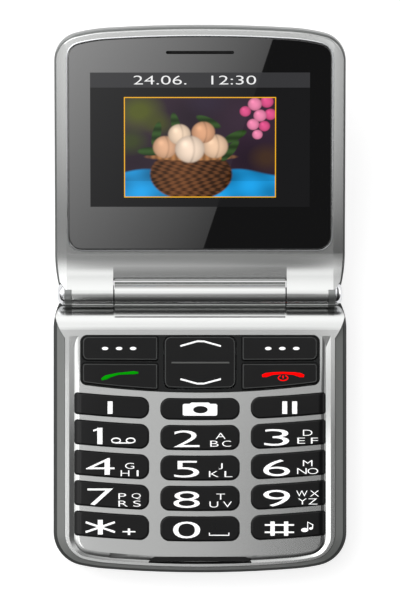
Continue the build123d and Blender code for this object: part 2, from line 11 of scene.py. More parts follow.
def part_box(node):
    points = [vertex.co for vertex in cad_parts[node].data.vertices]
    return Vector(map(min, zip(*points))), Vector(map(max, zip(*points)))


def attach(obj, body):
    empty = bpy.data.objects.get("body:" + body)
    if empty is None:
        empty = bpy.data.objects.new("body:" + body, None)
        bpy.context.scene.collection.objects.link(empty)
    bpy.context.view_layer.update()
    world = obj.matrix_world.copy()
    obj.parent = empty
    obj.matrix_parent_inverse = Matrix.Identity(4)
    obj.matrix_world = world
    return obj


bl_info = {
    "name": "Flip Phone Dressing",
    "version": (1, 0, 0),
    "blender": (4, 5, 0),
    "location": "View3D > Sidebar > Flip Phone",
    "description": "Finishes, key prints, screen and studio for an open flip phone",
    "category": "Object",
}

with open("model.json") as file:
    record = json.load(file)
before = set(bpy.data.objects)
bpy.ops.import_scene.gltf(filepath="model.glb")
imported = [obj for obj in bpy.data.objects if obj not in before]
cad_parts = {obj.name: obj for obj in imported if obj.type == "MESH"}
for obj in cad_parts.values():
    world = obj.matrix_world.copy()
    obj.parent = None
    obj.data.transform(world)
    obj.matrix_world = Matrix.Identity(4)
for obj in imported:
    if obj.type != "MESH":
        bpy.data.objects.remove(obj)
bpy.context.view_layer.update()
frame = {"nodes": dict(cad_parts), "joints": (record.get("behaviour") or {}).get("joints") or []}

# ---- sizes in millimetres; on the lid, x and y lie in its face and y starts at the hinge axis ----
MM = 0.001
HINGE = Vector(frame["joints"][0]["pos_m"])
REST_TILT = 15.0
WINDOW_W = -0.55          # height of the display window's face over the hinge axis, square to the lid
RIM_W = -0.3              # the same for the rim round the window
LID_BACK_W = -8.1         # and for the lid's outside
EARPIECE = (10.0, 55.0, 59.0)         # half width, low and high edge of the part of the window it lies in
BEAD_OUT = 0.47           # the line round the window runs this far outside the window's edge
BEAD_WIDTH, BEAD_THICK = 0.4, 0.2
BEAD_SINK = 0.02          # its middle lies this far below the rim
BEAD_LOW = 19.0           # its bright bead ends here, and the dull lip, a painted highlight, goes on
BEAD_STEP = 0.4
BEAD_MEAN = 3             # each of its points is a mean that takes in so many neighbours on both sides
SCREEN = (-25.35, 25.35, 20.67, 52.6)
TITLE_BAR_Y = 49.04
TITLE = "24.06.   12:30"
TITLE_X, TITLE_HEIGHT, TITLE_STRETCH = -1.2, 2.1, 1.7
PICTURE = (-17.55, 17.55, 22.9, 46.8)
PICTURE_FRAME = 0.23
PICTURE_CELL = 0.16
CAMERA_Y = 50.0
CAMERA_RING, CAMERA_RING_WIDTH, CAMERA_RING_THICK = 3.55, 0.6, 0.4
SIDE_SHADE_Z = 8.93        # below this height the base's side is painted darker: painted shade on its outer wall
PRINT_RISE = 0.012        # a printed legend stands this far above the plastic
PRINT_THICK = 0.02
# width of the light line painted round some key tops: a painted highlight on their rounded edge
EDGE_HIGHLIGHT = 0.2
DIGIT_HEIGHT = 3.85
LETTER_HEIGHT = 1.37
LETTER_STRETCH = 1.75     # how many times wider than usual the letters are drawn
LETTER_STRETCHES = {"B": 2.1, "E": 2.3, "F": 2.3, "I": 2.6, "J": 2.8, "K": 2.0, "L": 2.3, "P": 2.1, "R": 2.1,
                    "S": 2.4, "W": 1.25, "X": 1.55}

ON_LID = Matrix.Translation(HINGE) @ Matrix.Rotation(radians(REST_TILT), 4, "X")
SCALE = Matrix.Scale(MM, 4)
IN_PLACE = Matrix.Scale(1 / MM, 4)    # for a mesh that is in place and in metres already

finishes = {}


# ---- small helpers ----
def linear(code):
    """A colour written as sRGB hex, as linear RGBA; one that is linear already is kept."""
    if not isinstance(code, str):
        return (*code[:3], 1.0)
    channels = [int(code[i:i + 2], 16) / 255 for i in (1, 3, 5)]
    return tuple(c / 12.92 if c <= 0.04045 else ((c + 0.055) / 1.055) ** 2.4 for c in channels) + (1.0,)


def add_node(tree, kind, inputs=None, **settings):
    """A node with its settings; an input is a constant or a (node, output) link."""
    node = tree.nodes.new(kind)
    for name, value in settings.items():
        setattr(node, name, value)
    for socket, value in (inputs or {}).items():
        if isinstance(value, tuple) and isinstance(value[0], bpy.types.Node):
            tree.links.new(value[0].outputs[value[1]], node.inputs[socket])
        else:
            node.inputs[socket].default_value = value
    return node


def new_material(name):
    """An empty node material and its tree."""
    material = bpy.data.materials.new(name)
    material.use_nodes = True
    material.node_tree.nodes.clear()
    return material, material.node_tree


def fill_ramp(node, stops):
    """Give a colour ramp its stops, each a position and a colour."""
    ramp = node.color_ramp
    while len(ramp.elements) < len(stops):
        ramp.elements.new(0.5)
    for element, (position, colour) in zip(ramp.elements, stops):
        element.position = position
        element.color = colour
    return node


def surfaced(name, colour, roughness, metallic=0.0, specular=0.5, grain=(0.3, 0.004), drift=(9.0, 0.06),
             gloss_drift=0.05, lower=None, edge=0.0):
    """A moulded, painted or rolled surface: a fine grain in the relief, given as its size and height in
    millimetres, and a slow drift in tone and gloss, given as its size in millimetres and its share.
    lower is a second colour and the height in millimetres below which it shows; edge is the radius in
    millimetres by which the paint softens sharp edges."""
    material, tree = new_material(name)
    place = add_node(tree, "ShaderNodeTexCoord")
    slow = add_node(tree, "ShaderNodeTexNoise", {
        "Vector": (place, "Object"), "Scale": 1 / (drift[0] * MM), "Detail": 2.0, "Roughness": 0.5})
    fine = add_node(tree, "ShaderNodeTexNoise", {
        "Vector": (place, "Object"), "Scale": 1 / (grain[0] * MM), "Detail": 3.0, "Roughness": 0.6})
    dark = tuple(c * (1 - drift[1]) for c in linear(colour)[:3]) + (1.0,)
    light = tuple(min(1.0, c * (1 + drift[1])) for c in linear(colour)[:3]) + (1.0,)
    tone = add_node(tree, "ShaderNodeMix", {
        "Factor": (slow, "Fac"), 6: dark, 7: light}, data_type="RGBA")
    gloss = add_node(tree, "ShaderNodeMapRange", {
        "Value": (slow, "Fac"), "To Min": roughness - gloss_drift, "To Max": roughness + gloss_drift})
    relief = add_node(tree, "ShaderNodeBump", {
        "Height": (fine, "Fac"), "Strength": 1.0, "Distance": grain[1] * MM})
    if edge:
        soft = add_node(tree, "ShaderNodeBevel", {"Radius": edge * MM}, samples=8)
        tree.links.new(soft.outputs["Normal"], relief.inputs["Normal"])
    if lower:
        parts = add_node(tree, "ShaderNodeSeparateXYZ", {"Vector": (place, "Object")})
        above = add_node(tree, "ShaderNodeMath", {
            0: (parts, "Z"), 1: lower[1] * MM}, operation="GREATER_THAN")
        tone = add_node(tree, "ShaderNodeMix", {
            "Factor": (above, "Value"), 6: linear(lower[0]), 7: (tone, 2)}, data_type="RGBA")
    shader = add_node(tree, "ShaderNodeBsdfPrincipled", {
        "Roughness": (gloss, "Result"), "Normal": (relief, "Normal"), "Metallic": metallic,
        "Specular IOR Level": specular, "Base Color": (tone, 2)})
    add_node(tree, "ShaderNodeOutputMaterial", {"Surface": (shader, "BSDF")})
    return material


def mesh_of(curve):
    """The mesh of a text or curve, which is then dropped."""
    holder = bpy.data.objects.new("drawing", curve)
    bpy.context.scene.collection.objects.link(holder)
    bpy.context.view_layer.update()
    graph = bpy.context.evaluated_depsgraph_get()
    mesh = bpy.data.meshes.new_from_object(holder.evaluated_get(graph))
    bpy.data.objects.remove(holder)
    bpy.data.curves.remove(curve)
    return mesh


def mesh_from(shape):
    """The mesh of a bmesh, which is then freed."""
    mesh = bpy.data.meshes.new("shape")
    shape.to_mesh(mesh)
    shape.free()
    return mesh


def join(meshes):
    """Several drawings as one mesh."""
    whole = bmesh.new()
    for mesh in meshes:
        whole.from_mesh(mesh)
        bpy.data.meshes.remove(mesh)
    return mesh_from(whole)


def add_piece(name, mesh, place, body, material):
    """A piece from a mesh drawn in millimetres: its place, finish and body."""
    mesh.transform(place @ SCALE)
    mesh.name = name
    mesh.materials.clear()
    mesh.materials.append(material)
    piece = bpy.data.objects.new(name, mesh)
    bpy.context.scene.collection.objects.link(piece)
    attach(piece, body)
    return piece


def moved(mesh, x=0.0, y=0.0, z=0.0, sx=1.0, sy=1.0, sz=1.0):
    """A mesh scaled about the origin and then moved."""
    mesh.transform(Matrix.Translation((x, y, z)) @ Matrix.Diagonal((sx, sy, sz, 1.0)))
    return mesh


def lettering(text, centre, height, width=None, stretch=1.0):
    """Printed characters, centred at a point and scaled to a height and to a width or stretch."""
    curve = bpy.data.curves.new("text", "FONT")
    curve.body = text
    curve.offset = -0.008
    curve.extrude = PRINT_THICK / 2
    curve.resolution_u = 5
    mesh = mesh_of(curve)
    xs = [v.co.x for v in mesh.vertices]
    ys = [v.co.y for v in mesh.vertices]
    sy = height / (max(ys) - min(ys))
    sx = width / (max(xs) - min(xs)) if width else sy * stretch
    x = centre[0] - sx * (min(xs) + max(xs)) / 2
    y = centre[1] - sy * (min(ys) + max(ys)) / 2
    return moved(mesh, x, y, 0.0, sx, sy)


def letter_pair(text, centre, height, width):
    """Two letters, their outer edges a given width apart."""
    marks = []
    for side, letter in zip((-1, 1), text):
        stretch = LETTER_STRETCHES.get(letter, LETTER_STRETCH)
        mesh = lettering(letter, (0.0, centre[1]), height, stretch=stretch)
        reach = max(v.co.x for v in mesh.vertices)
        marks.append(moved(mesh, x=centre[0] + side * (width / 2 - reach)))
    return marks


def stroke(points, width, closed=False, swell=None, thick=PRINT_THICK):
    """A rounded line of one width, or with a swelling at each point."""
    curve = bpy.data.curves.new("stroke", "CURVE")
    curve.dimensions = "3D"
    curve.bevel_depth = width / 2
    curve.bevel_resolution = 2
    curve.use_fill_caps = True
    spline = curve.splines.new("POLY")
    spline.points.add(len(points) - 1)
    for i, (x, y) in enumerate(points):
        spline.points[i].co = (x, y, 0.0, 1.0)
        spline.points[i].radius = swell[i] if swell else 1.0
    spline.use_cyclic_u = closed
    return moved(mesh_of(curve), sz=thick / width)


def disc(centre, width, height):
    """A flat printed ellipse."""
    shape = bmesh.new()
    bmesh.ops.create_cone(shape, cap_ends=True, segments=28, radius1=0.5, radius2=0.5, depth=PRINT_THICK)
    return moved(mesh_from(shape), *centre, 0.0, width, height)


def plate(x0, x1, y0, y1, z0, z1):
    """A thin rectangular plate."""
    shape = bmesh.new()
    bmesh.ops.create_cube(shape, size=1.0)
    bmesh.ops.transform(shape, verts=shape.verts, matrix=Matrix.Translation(
        ((x0 + x1) / 2, (y0 + y1) / 2, (z0 + z1) / 2)) @ Matrix.Diagonal((x1 - x0, y1 - y0, z1 - z0, 1.0)))
    return mesh_from(shape)


def arc(centre, radii, start, end, count):
    """Points on an elliptic arc between two angles in degrees."""
    turn = [radians(start + (end - start) * i / (count - 1)) for i in range(count)]
    return [(centre[0] + radii[0] * cos(t), centre[1] + radii[1] * sin(t)) for t in turn]


def top_ring(node, width):
    """A thin raised line that runs round just inside the flat top of a node, in metres."""
    shape = bmesh.new()
    shape.from_mesh(frame["nodes"][node].data)
    bmesh.ops.remove_doubles(shape, verts=shape.verts, dist=1e-7)
    top = max(v.co.z for v in shape.verts) - 0.01 * MM
    rest = [f for f in shape.faces if min(v.co.z for v in f.verts) < top]
    bmesh.ops.delete(shape, geom=rest, context="FACES")
    inner = shape.faces[:]
    bmesh.ops.inset_region(shape, faces=inner, thickness=width * MM, use_boundary=True, use_even_offset=True)
    bmesh.ops.delete(shape, geom=inner, context="FACES")
    bmesh.ops.solidify(shape, geom=shape.faces[:], thickness=-PRINT_RISE * MM)
    return mesh_from(shape)


def window_edge(grow, split, upper=True):
    """The edge of the display window's face above a height, from right to left, or the rest of it, from
    left to right, in millimetres on the lid and moved outwards by a growth."""
    to_lid = ON_LID.inverted()
    corners = [to_lid @ v.co / MM for v in frame["nodes"]["display_window"].data.vertices]
    slot_x, slot_low, slot_high = EARPIECE
    corners = [c for c in corners if c.z > WINDOW_W - 0.002
               and not (abs(c.x) < slot_x and slot_low < c.y < slot_high)]
    low_y, high_y = min(c.y for c in corners), max(c.y for c in corners)
    half, middle = max(c.x for c in corners), (low_y + high_y) / 2
    turn = pi / 2 if upper else -pi / 2
    around = {round((atan2(c.y - middle, c.x) + turn) % (2 * pi), 3): c for c in corners
              if (c.y > split) == upper}
    around = [c for _, c in sorted(around.items())]
    start, end = (Vector((c.x, split, c.z)) for c in (around[0], around[-1]))
    sx, sy = 1 + grow / half, 1 + 2 * grow / (high_y - low_y)
    return [(c.x * sx, middle + (c.y - middle) * sy) for c in (start, *around, end)]


def resampled(points, step):
    """Points at even steps along a line, its corners rounded by a running mean."""
    points = np.array(points)
    reach = np.concatenate(([0], np.cumsum(np.hypot(*np.diff(points, axis=0).T))))
    stops = np.linspace(0, reach[-1], round(reach[-1] / step) + 1)
    even = np.stack([np.interp(stops, reach, axis) for axis in points.T], 1)
    padded = np.concatenate((even[:1].repeat(BEAD_MEAN, 0), even, even[-1:].repeat(BEAD_MEAN, 0)))
    return [tuple(padded[i:i + 2 * BEAD_MEAN + 1].mean(0)) for i in range(len(even))]


def dress(material, *nodes):
    """Give CAD nodes their finish."""
    for name in nodes:
        for slot in frame["nodes"][name].material_slots:
            slot.material = material


# ---- finishes ----
def silver_paint(colour):
    """ABS under a metallic silver spray: soft bright reflections, a faint sparkle, no grain to see."""
    return surfaced("silver_metallic_paint", colour, 0.2, metallic=1.0, grain=(0.25, 0.0003),
                    drift=(14.0, 0.01), gloss_drift=0.005)


def grey_paint(colour):
    """ABS in grey satin paint: a broad dull sheen, even tone above a height; below it the base's side wall
    is painted a darker grey, which is painted shade.
    """
    return surfaced("grey_satin_paint", colour, 0.42, specular=0.4, grain=(0.3, 0.0015), drift=(12.0, 0.03),
                    lower=("#2E302F", SIDE_SHADE_Z), edge=0.2)


def lid_paint():
    """ABS in dark grey paint with a little metal in it, on the lid's rear shell."""
    return surfaced("dark_grey_metallic_paint", "#7F8180", 0.3, metallic=0.7, grain=(0.3, 0.001),
                    drift=(12.0, 0.02), gloss_drift=0.02, edge=0.2)


def graphite_plastic():
    """Textured graphite ABS of the covers: fine spark-eroded grain, low gloss."""
    return surfaced("graphite_moulded_abs", "#3A3B3D", 0.5, specular=0.4, grain=(0.35, 0.02),
                    drift=(10.0, 0.05))


def chrome_caps():
    """Satin chromed hinge caps: a bright, slightly blurred mirror."""
    return surfaced("satin_chrome", "#D6D7D9", 0.16, metallic=1.0, grain=(0.3, 0.0004), drift=(6.0, 0.02),
                    gloss_drift=0.03)


def polished_trim():
    """Bright bead of polished aluminium: a thin clear line of light."""
    return surfaced("polished_aluminium_trim", "#F2F3F5", 0.18, metallic=1.0, grain=(0.3, 0.0002),
                    drift=(9.0, 0.01), gloss_drift=0.01)


def key_plastic():
    """Black polycarbonate keycaps: deep black, silky, a little worn in tone."""
    return surfaced("black_polycarbonate", "#0A0A0B", 0.3, specular=0.25, grain=(0.25, 0.001),
                    drift=(5.0, 0.15))


def panel_plastic():
    """Navigation panel around the top keys: the same black, a shade lighter and glossier."""
    return surfaced("black_gloss_panel", "#181919", 0.25, specular=0.2, grain=(0.3, 0.0008),
                    drift=(8.0, 0.1))


def bumper_rubber():
    """Soft black rubber strip: no shine, slightly dusty."""
    return surfaced("black_rubber", "#191919", 0.7, specular=0.2, grain=(0.2, 0.01), drift=(3.0, 0.2))


def window_print():
    """PMMA window with a mirror-black print on its back: dark, but it reflects like a dim mirror."""
    material, tree = new_material("mirror_black_window")
    place = add_node(tree, "ShaderNodeTexCoord")
    smear = add_node(tree, "ShaderNodeTexNoise", {"Vector": (place, "Object"), "Scale": 1 / (11 * MM)})
    gloss = add_node(tree, "ShaderNodeMapRange", {
        "Value": (smear, "Fac"), "From Min": 0.35, "From Max": 0.7, "To Min": 0.004, "To Max": 0.008})
    shader = add_node(tree, "ShaderNodeBsdfPrincipled", {
        "Base Color": linear("#0C0C0D"), "Roughness": (gloss, "Result"), "IOR": 2.33})
    add_node(tree, "ShaderNodeOutputMaterial", {"Surface": (shader, "BSDF")})
    return material


def painted_glow(material, code, strength):
    """Painted light: the print glows faintly, which makes it look brighter than the lamps light it."""
    shader = material.node_tree.nodes["Principled BSDF"]
    shader.inputs["Emission Color"].default_value = linear(code)
    shader.inputs["Emission Strength"].default_value = strength
    return material


def white_print():
    """Silk-screened white ink on the keys: even, clean white, with a faint painted glow."""
    ink = surfaced("white_key_print", "#F6F6F6", 0.45, specular=0.2, grain=(0.2, 0.001), drift=(2.0, 0.02))
    return painted_glow(ink, "#FFFFFF", 0.3)


def colour_print(name, code):
    """Silk-screened coloured ink on the call keys: full colour, hardly any shine, with a faint painted glow.
    """
    ink = surfaced(name, code, 0.6, specular=0.03, grain=(0.2, 0.001), drift=(2.0, 0.03))
    return painted_glow(ink, code, 0.45)


def display_light(name, code=None):
    """Lit dots of the display under glossy PMMA, in one colour or each in that of the picture: they give
    their own light, and the surface over them mirrors dimly."""
    material, tree = new_material(name)
    if code:
        light = linear(code)
    else:
        light = add_node(tree, "ShaderNodeVertexColor", layer_name="picture"), "Color"
    shader = add_node(tree, "ShaderNodeBsdfPrincipled", {
        "Base Color": (0.0, 0.0, 0.0, 1.0), "Roughness": 0.008, "Specular IOR Level": 0.25,
        "Emission Color": light, "Emission Strength": 1.0})
    add_node(tree, "ShaderNodeOutputMaterial", {"Surface": (shader, "BSDF")})
    return material


def lower_edge_highlight():
    """Painted highlight: a dull, even grey lip round the lower end of the window, standing in for the light
    on the window's edge.
    """
    return surfaced("grey_painted_edge_highlight", "#7E7F80", 0.6, specular=0.2, grain=(0.2, 0.003), drift=(6.0, 0.03))


def woven_mesh():
    """Black woven speaker cloth: threads 0.25 mm apart, light caught on the crossings."""
    material, tree = new_material("woven_speaker_mesh")
    place = add_node(tree, "ShaderNodeTexCoord")
    warp = add_node(tree, "ShaderNodeTexWave", {
        "Vector": (place, "Object"), "Scale": 0.3 / (0.25 * MM)}, bands_direction="X")
    weft = add_node(tree, "ShaderNodeTexWave", {
        "Vector": (place, "Object"), "Scale": 0.3 / (0.25 * MM)}, bands_direction="Y")
    both = add_node(tree, "ShaderNodeMath", {0: (warp, "Fac"), 1: (weft, "Fac")}, operation="MULTIPLY")
    tone = fill_ramp(add_node(tree, "ShaderNodeValToRGB", {"Fac": (both, "Value")}), (
        (0.0, linear("#060606")), (1.0, linear("#2A2A2B"))))
    relief = add_node(tree, "ShaderNodeBump", {"Height": (both, "Value"), "Distance": 0.04 * MM})
    shader = add_node(tree, "ShaderNodeBsdfPrincipled", {
        "Base Color": (tone, "Color"), "Roughness": 0.6, "Normal": (relief, "Normal")})
    add_node(tree, "ShaderNodeOutputMaterial", {"Surface": (shader, "BSDF")})
    return material


def lens_glass():
    """Coated camera lens window: black glass with a hard shine."""
    material, tree = new_material("coated_lens_glass")
    place = add_node(tree, "ShaderNodeTexCoord")
    smear = add_node(tree, "ShaderNodeTexNoise", {"Vector": (place, "Object"), "Scale": 1 / (3 * MM)})
    tone = fill_ramp(add_node(tree, "ShaderNodeValToRGB", {"Fac": (smear, "Fac")}), (
        (0.3, linear("#08080C")), (0.7, linear("#0E0C16"))))
    shader = add_node(tree, "ShaderNodeBsdfPrincipled", {
        "Base Color": (tone, "Color"), "Roughness": 0.03, "IOR": 1.6, "Coat Weight": 1.0,
        "Coat Roughness": 0.02})
    add_node(tree, "ShaderNodeOutputMaterial", {"Surface": (shader, "BSDF")})
    return material


# ---- the display's picture: a generic still life ----
def soft_ellipse(x, y, centre, radii, soft, turn=0.0):
    """Mask of an ellipse with a soft edge."""
    dx, dy = x - centre[0], y - centre[1]
    u = (dx * cos(turn) + dy * sin(turn)) / radii[0]
    v = (dy * cos(turn) - dx * sin(turn)) / radii[1]
    return np.clip((1 - np.hypot(u, v)) / soft + 0.5, 0, 1)


def lay(canvas, code, mask, light=1.0):
    """Paint a colour over the canvas through a mask."""
    colour = np.array(linear(code)[:3]) * np.reshape(light, (-1, 1))
    canvas += (colour - canvas) * mask[:, None]


def fruit(canvas, x, y, centre, size, code, cleft):
    """A round fruit: shaded towards its edge, with a bright spot and a cleft as deep as given."""
    u, v = (x - centre[0]) / size, (y - centre[1]) / size
    shine = np.exp(-((u + 0.35) ** 2 + (v - 0.4) ** 2) / 0.07)
    groove = np.exp(-((u - 0.3 * (1 - v ** 2)) / 0.09) ** 2)
    light = np.clip(1.05 - 0.5 * (u ** 2 + v ** 2) + 0.3 * shine - cleft * groove, 0.2, 1.3)
    lay(canvas, code, soft_ellipse(x, y, centre, (size, 0.94 * size), 0.14), light)


def still_life(x, y):
    """Colours of a basket of peaches on a blue cloth, with berries before a dark hedge; x and y in
    centimetres from the lower left corner of a picture 3.5 by 2.4."""
    canvas = np.tile(np.array(linear("#2A1F2A")[:3]), (len(x), 1))
    haze = 0.5 + 0.5 * np.sin(2.3 * x + 1.1) * np.cos(3.1 * y + 0.4)
    lay(canvas, "#453243", 0.55 * haze)
    for cx, cy, size, code in (
            (0.35, 2.05, 0.42, "#5A6418"), (0.8, 1.75, 0.26, "#4A5020"), (0.15, 1.35, 0.3, "#3D4A1E"),
            (1.9, 2.3, 0.35, "#33293A"), (3.3, 0.95, 0.3, "#4A3524")):
        lay(canvas, code, 0.75 * soft_ellipse(x, y, (cx, cy), (size, size * 0.8), 1.2))
    lay(canvas, "#1E96D8", np.clip((0.62 + 0.08 * np.sin(3 * x) - y) / 0.05, 0, 1),
        0.75 + 0.3 * np.sin(5.2 * x - 3.4 * y) * np.sin(2.1 * x + 6 * y) + 0.2 * (y < 0.4))
    basket = soft_ellipse(x, y, (1.55, 0.55), (0.95, 0.62), 0.05) * (y < 0.95)
    weave = np.sin(24 * x + 3 * np.sin(9 * y)) * np.sign(np.sin(40 * y))
    lay(canvas, "#6E4427", basket, np.clip(0.85 + 0.4 * weave - 0.5 * np.abs(x - 1.3), 0.2, 1.6))
    lay(canvas, "#A97447", soft_ellipse(x, y, (1.55, 0.97), (0.97, 0.09), 0.3), 0.9 + 0.3 * np.sin(40 * x))
    leaves = ((0.62, 1.1), (2.45, 1.12), (1.2, 1.72), (1.95, 1.8), (2.55, 1.45), (0.75, 1.5))
    for i, centre in enumerate(leaves):
        leaf = soft_ellipse(x, y, centre, (0.3, 0.1), 0.2, turn=0.9 * i)
        lay(canvas, "#2F4A22", leaf, 0.9 + 0.4 * np.sin(30 * y))
    for cx, cy, size, code in (
            (0.95, 1.2, 0.28, "#E2B08C"), (2.1, 1.22, 0.3, "#EFC9A8"), (1.28, 1.5, 0.26, "#F4D8BC"),
            (1.83, 1.55, 0.27, "#DFA680"), (1.52, 1.15, 0.34, "#F8DFC8")):
        fruit(canvas, x, y, (cx, cy), size, code, 0.22)
    for i, (cx, cy, size) in enumerate((
            (3.3, 2.28, 0.15), (3.02, 2.22, 0.16), (3.38, 1.98, 0.14), (3.14, 1.95, 0.15), (2.8, 2.05, 0.13),
            (2.98, 1.74, 0.14), (3.24, 1.7, 0.13), (3.08, 1.5, 0.12))):
        fruit(canvas, x, y, (cx, cy), size, ("#E0568C", "#F08AB0")[i % 2], 0.0)
    return canvas


class PhoneSizes(bpy.types.PropertyGroup):
    """Sizes of the legends on the keys"""
    digit_height: FloatProperty(
        name="Digit height", description="Height of a key's number, in millimetres", default=DIGIT_HEIGHT,
        min=1)
    letter_height: FloatProperty(
        name="Letter height", description="Height of a key's letters, in millimetres", default=LETTER_HEIGHT,
        min=0.5)


class PhoneColours(bpy.types.PropertyGroup):
    """Colours of the phone's casing"""
    silver: FloatVectorProperty(
        name="Silver", description="Colour of the metallic paint", subtype="COLOR", size=3,
        default=linear("#CACBCA")[:3])
    grey: FloatVectorProperty(
        name="Grey", description="Colour of the paint round the base's edge", subtype="COLOR", size=3,
        default=linear("#757775")[:3])


class PHONE_OT_casing(bpy.types.Operator):
    """Finish the shells, the battery cover and the small parts that show in them"""
    bl_idname = "phone.casing"
    bl_label = "Casing"

    def execute(self, context):
        colours = context.scene.phone_colours
        dress(silver_paint(colours.silver), "base_front_shell", "lid_front_shell")
        dress(grey_paint(colours.grey), "base_rear_shell")
        dress(lid_paint(), "lid_rear_shell")
        dress(graphite_plastic(), "battery_cover")
        dress(chrome_caps(), "hinge_end_caps")
        dress(bumper_rubber(), "lid_bumper")
        dress(panel_plastic(), "nav_panel")
        dress(woven_mesh(), "earpiece_mesh", "loudspeaker_mesh")
        dress(lens_glass(), "camera_lens_window")
        return {"FINISHED"}


KEYS = [name for name in frame["nodes"] if "key" in name and name != "keypad_mat"] + ["nav_rocker"]


class PHONE_OT_keys(bpy.types.Operator):
    """Finish the keycaps and the rocker"""
    bl_idname = "phone.keys"
    bl_label = "Keys"

    def execute(self, context):
        dress(key_plastic(), *KEYS)
        return {"FINISHED"}


# What each number key carries: its number and that one's width, and the two rows of letters beside it
NUMBER_PRINTS = {
    "key_2": ("2", 6.0, "A", "BC"), "key_3": ("3", 5.8, "D", "EF"), "key_4": ("4", 6.6, "G", "HI"),
    "key_5": ("5", 5.8, "J", "KL"), "key_6": ("6", 6.2, "M", "NO"), "key_7": ("7", 5.95, "PQ", "RS"),
    "key_8": ("8", 6.1, "T", "UV"), "key_9": ("9", 6.2, "WX", "YZ"), "key_0": ("0", 6.3, "", ""),
}
# How far apart the outer edges of two letters are, where it isn't the usual width
PAIR_WIDTH = 5.2
OTHER_PAIRS = {"BC": 4.85, "EF": 4.8, "HI": 4.15, "KL": 5.45, "NO": 4.9, "WX": 5.3, "YZ": 4.5}
MIDDLE_COLUMN = 5.0       # a key is in the middle column if its middle is nearer than this to x = 0
# Where a column's prints lie from the key's middle: the number, then the two letter rows
COLUMN_PRINTS = {
    -1: ((-2.65, -0.45), (4.15, -0.33), (4.15, -2.03)),
    0: ((-3.1, -0.27), (4.8, 0.41), (4.8, -1.4)),
    1: ((-2.7, -0.78), (4.5, 0.3), (4.5, -1.53)),
}


def key_place(name):
    """The middle of a key's top, as a placing matrix, and its column: left -1, middle 0, right 1."""
    low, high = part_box(name)
    centre = (low + high) / 2
    column = 0 if abs(centre.x) < MIDDLE_COLUMN * MM else (1 if centre.x > 0 else -1)
    return Matrix.Translation((centre.x, centre.y, high.z + (PRINT_RISE - PRINT_THICK / 2) * MM)), column


def bar(x, y, width, height):
    """An upright printed bar, given by its middle."""
    half = PRINT_THICK / 2
    return plate(x - width / 2, x + width / 2, y - height / 2, y + height / 2, -half, half)


def marks_of_one(x, y):
    """A one with a flag, and the voicemail sign: two reels joined by a line below."""
    marks = [bar(x - 0.1, y, 1.2, 3.8), stroke([(x - 1.65, y + 1.2), (x - 0.25, y + 1.68)], 0.42)]
    marks += [stroke(arc((reel, -1.5), (1.0, 0.55), 0, 345, 24), 0.3, closed=True) for reel in (1.0, 4.4)]
    return marks + [stroke([(1.0, -2.08), (4.4, -2.08)], 0.3)]


def marks_of_star(x, y):
    """A star of three bars, and a plus."""
    marks = [bar(x, y, 1.15, 3.4)]
    marks += [stroke([(x - 3.4, y - s * 1.15), (x + 3.4, y + s * 1.15)], 0.5) for s in (-1, 1)]
    return marks + [bar(4.0, -1.5, 3.0, 0.28), bar(4.0, -1.5, 0.55, 1.5)]


def marks_of_hash(x, y):
    """A hash of four bars, and a music note."""
    marks = [bar(x + dx, y, 1.0, 3.3) for dx in (-0.95, 2.2)]
    marks += [bar(x + 0.65, y + dy, 6.8, 0.38) for dy in (-0.85, 0.85)]
    return marks + [disc((3.8, -1.1), 1.7, 0.95), disc((5.25, -0.75), 0.9, 0.55),
                    stroke([(4.5, -1.05), (4.5, 0.75), (5.7, 0.1), (5.6, -0.65)], 0.3)]


def marks_of_zero(x, y):
    """The mark of a space."""
    return [stroke([(2.2, -0.9), (2.2, -1.5), (6.7, -1.5), (6.7, -0.9)], 0.3)]


DRAWN_PRINTS = {"key_1": marks_of_one, "key_star": marks_of_star, "key_hash": marks_of_hash,
                "key_0": marks_of_zero}


class PHONE_OT_number_prints(bpy.types.Operator):
    """Print the numbers, letters and marks on the twelve number keys"""
    bl_idname = "phone.number_prints"
    bl_label = "Number Prints"

    def execute(self, context):
        sizes = context.scene.phone_sizes
        for key in sorted({*NUMBER_PRINTS, *DRAWN_PRINTS}):
            place, column = key_place(key)
            number, *rows = COLUMN_PRINTS[column]
            digit, width, *letters = NUMBER_PRINTS.get(key, ("", 0.0, "", ""))
            marks = [lettering(digit, number, sizes.digit_height, width)] if digit else []
            for text, row in zip(letters, rows):
                if len(text) == 1:
                    stretch = LETTER_STRETCHES.get(text, LETTER_STRETCH)
                    marks.append(lettering(text, row, sizes.letter_height, stretch=stretch))
                elif text:
                    spread = OTHER_PAIRS.get(text, PAIR_WIDTH)
                    marks += letter_pair(text, row, sizes.letter_height, spread)
            if key in DRAWN_PRINTS:
                marks += DRAWN_PRINTS[key](*number)
            add_piece(f"{key}_print", join(marks), place, key, finishes["white"])
        return {"FINISHED"}


def camera_mark():
    """A camera seen from the front, its lens left open."""
    curve = bpy.data.curves.new("camera", "CURVE")
    curve.dimensions = "2D"
    curve.fill_mode = "BOTH"
    curve.extrude = PRINT_THICK / 2
    body = [(-4.0, -1.3), (-3.7, -1.55), (3.7, -1.55), (4.0, -1.3), (4.0, 0.9), (3.7, 1.2), (2.4, 1.2),
            (2.0, 1.5), (-2.0, 1.5), (-2.4, 1.2), (-3.7, 1.2), (-4.0, 0.9)]
    for points in (body, arc((0.1, -0.15), (1.7, 0.85), 0, 345, 24)):
        spline = curve.splines.new("POLY")
        spline.points.add(len(points) - 1)
        for point, (x, y) in zip(spline.points, points):
            point.co = (x, y, 0.0, 1.0)
        spline.use_cyclic_u = True
    return mesh_of(curve)


def handset(points, swell):
    """A telephone's handset: one line, thick at the ear and the mouth."""
    return stroke(points, 1.0, swell=swell)


